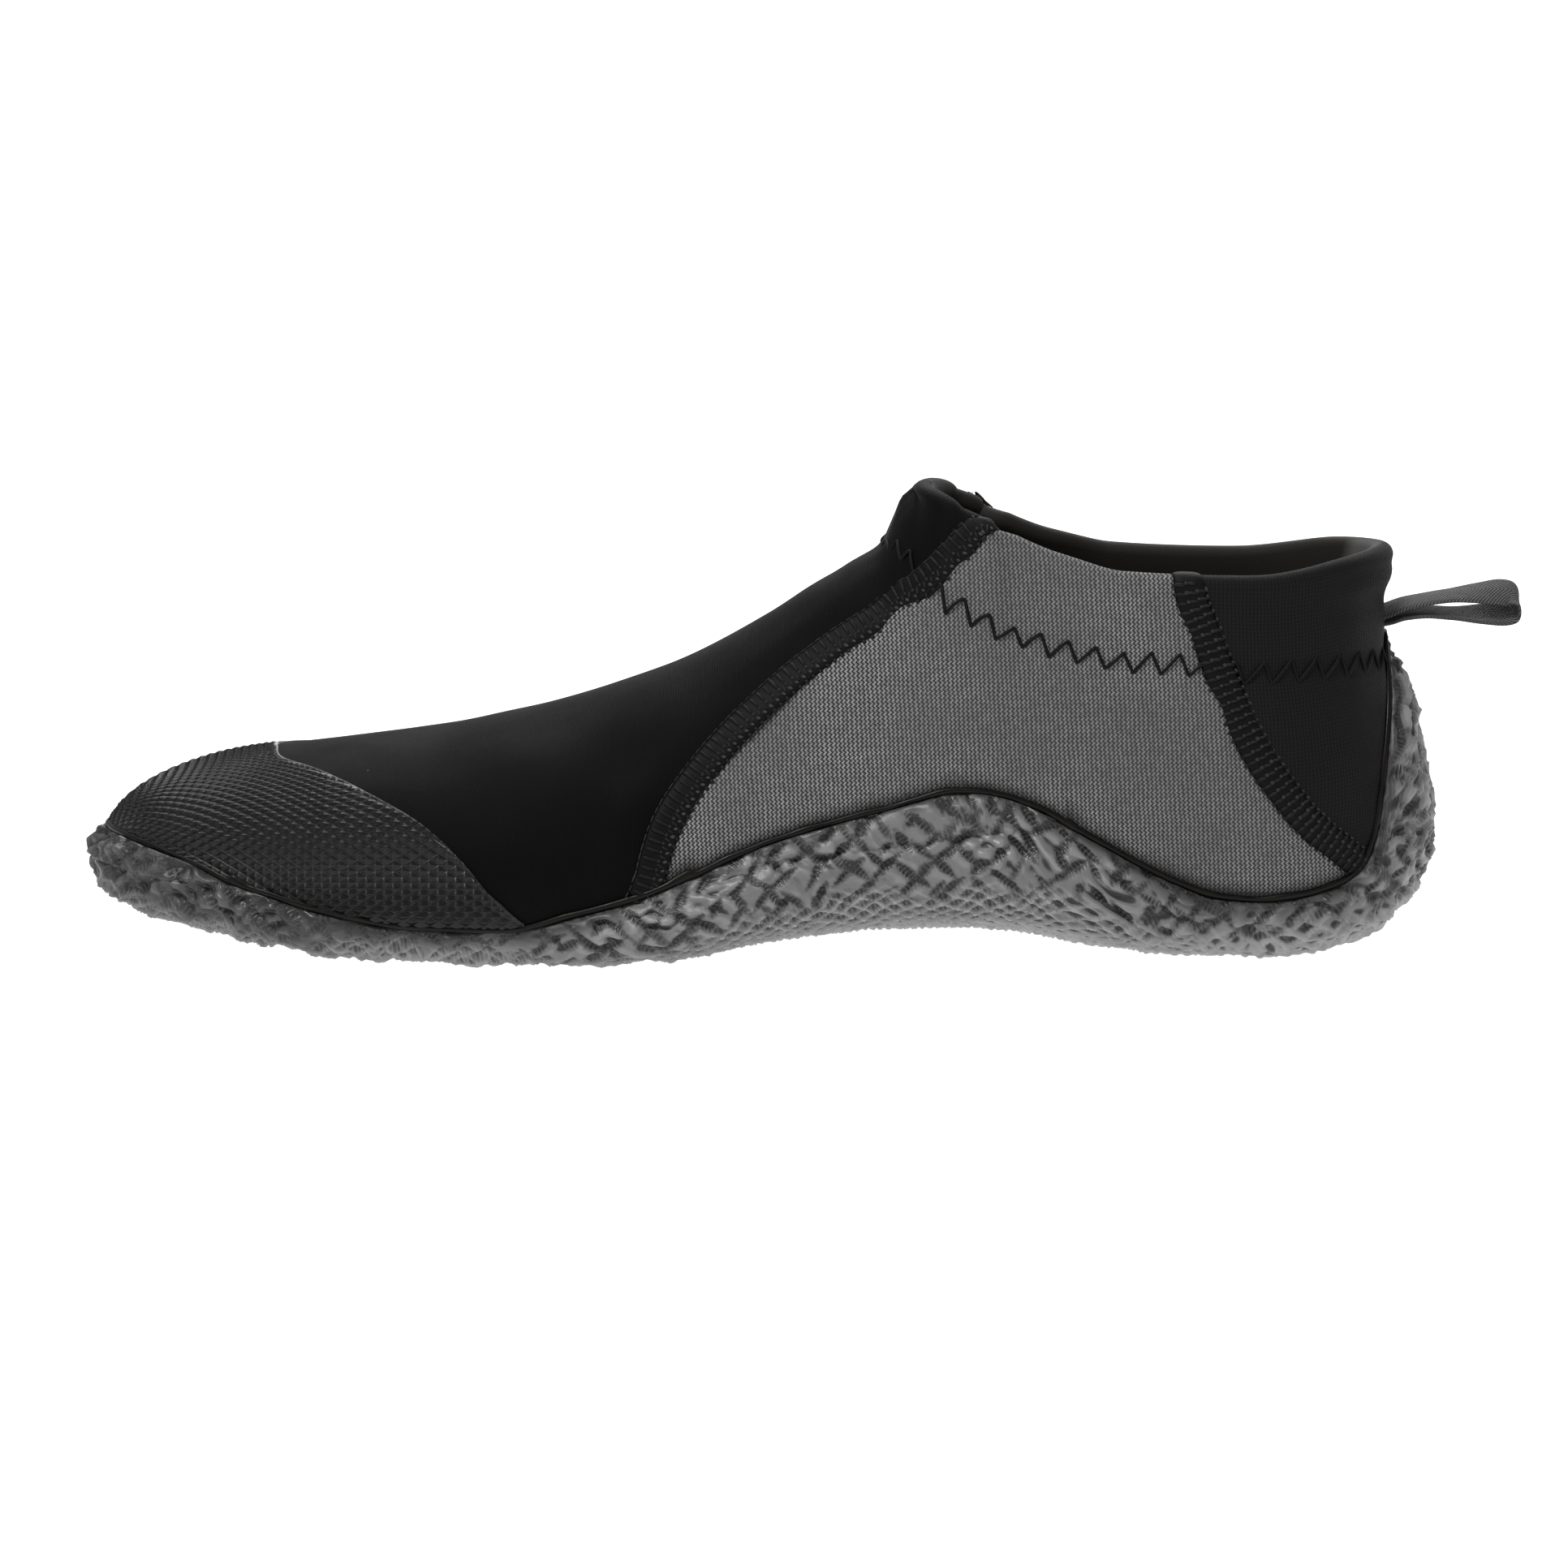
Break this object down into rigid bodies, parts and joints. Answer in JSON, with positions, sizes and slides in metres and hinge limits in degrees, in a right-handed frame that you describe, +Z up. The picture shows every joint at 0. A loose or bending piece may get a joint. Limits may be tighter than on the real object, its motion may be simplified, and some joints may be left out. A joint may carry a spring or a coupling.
{
  "type": "wetsuit bootie",
  "caption": "Low neoprene reef bootie for a right foot: hollow stretch upper with a folded collar, knurled toe cap, wrap-up rubber sole with raised arch, and a heel pull loop.",
  "frame": {"origin": "floor point under the middle of the ball of the foot, on the flat spot of the tread", "axes": "+X towards the heel, +Y towards the outer (lateral) side of the foot, +Z up"},
  "size_m": [0.3037, 0.0976, 0.0966],
  "materials": {
    "neoprene": "smooth black vamp, grey and black knit panels",
    "sock_board": "matt felt",
    "sole_rubber": "grey moulded rubber, satin",
    "sealant": "glossy black bead",
    "cap_rubber": "black rubber with diamond knurl",
    "seam_thread": "flatlock thread",
    "tape": "twill tape"
  },
  "bodies": {
    "root": {"upper": "neoprene", "insole": "sock_board", "outsole": "sole_rubber", "sole_edge_seal": "sealant", "toe_cap": "cap_rubber", "seam_front_medial": "seam_thread", "seam_front_lateral": "seam_thread", "seam_rear_medial": "seam_thread", "seam_rear_lateral": "seam_thread", "pull_loop": "tape"}
  },
  "joints": []
}
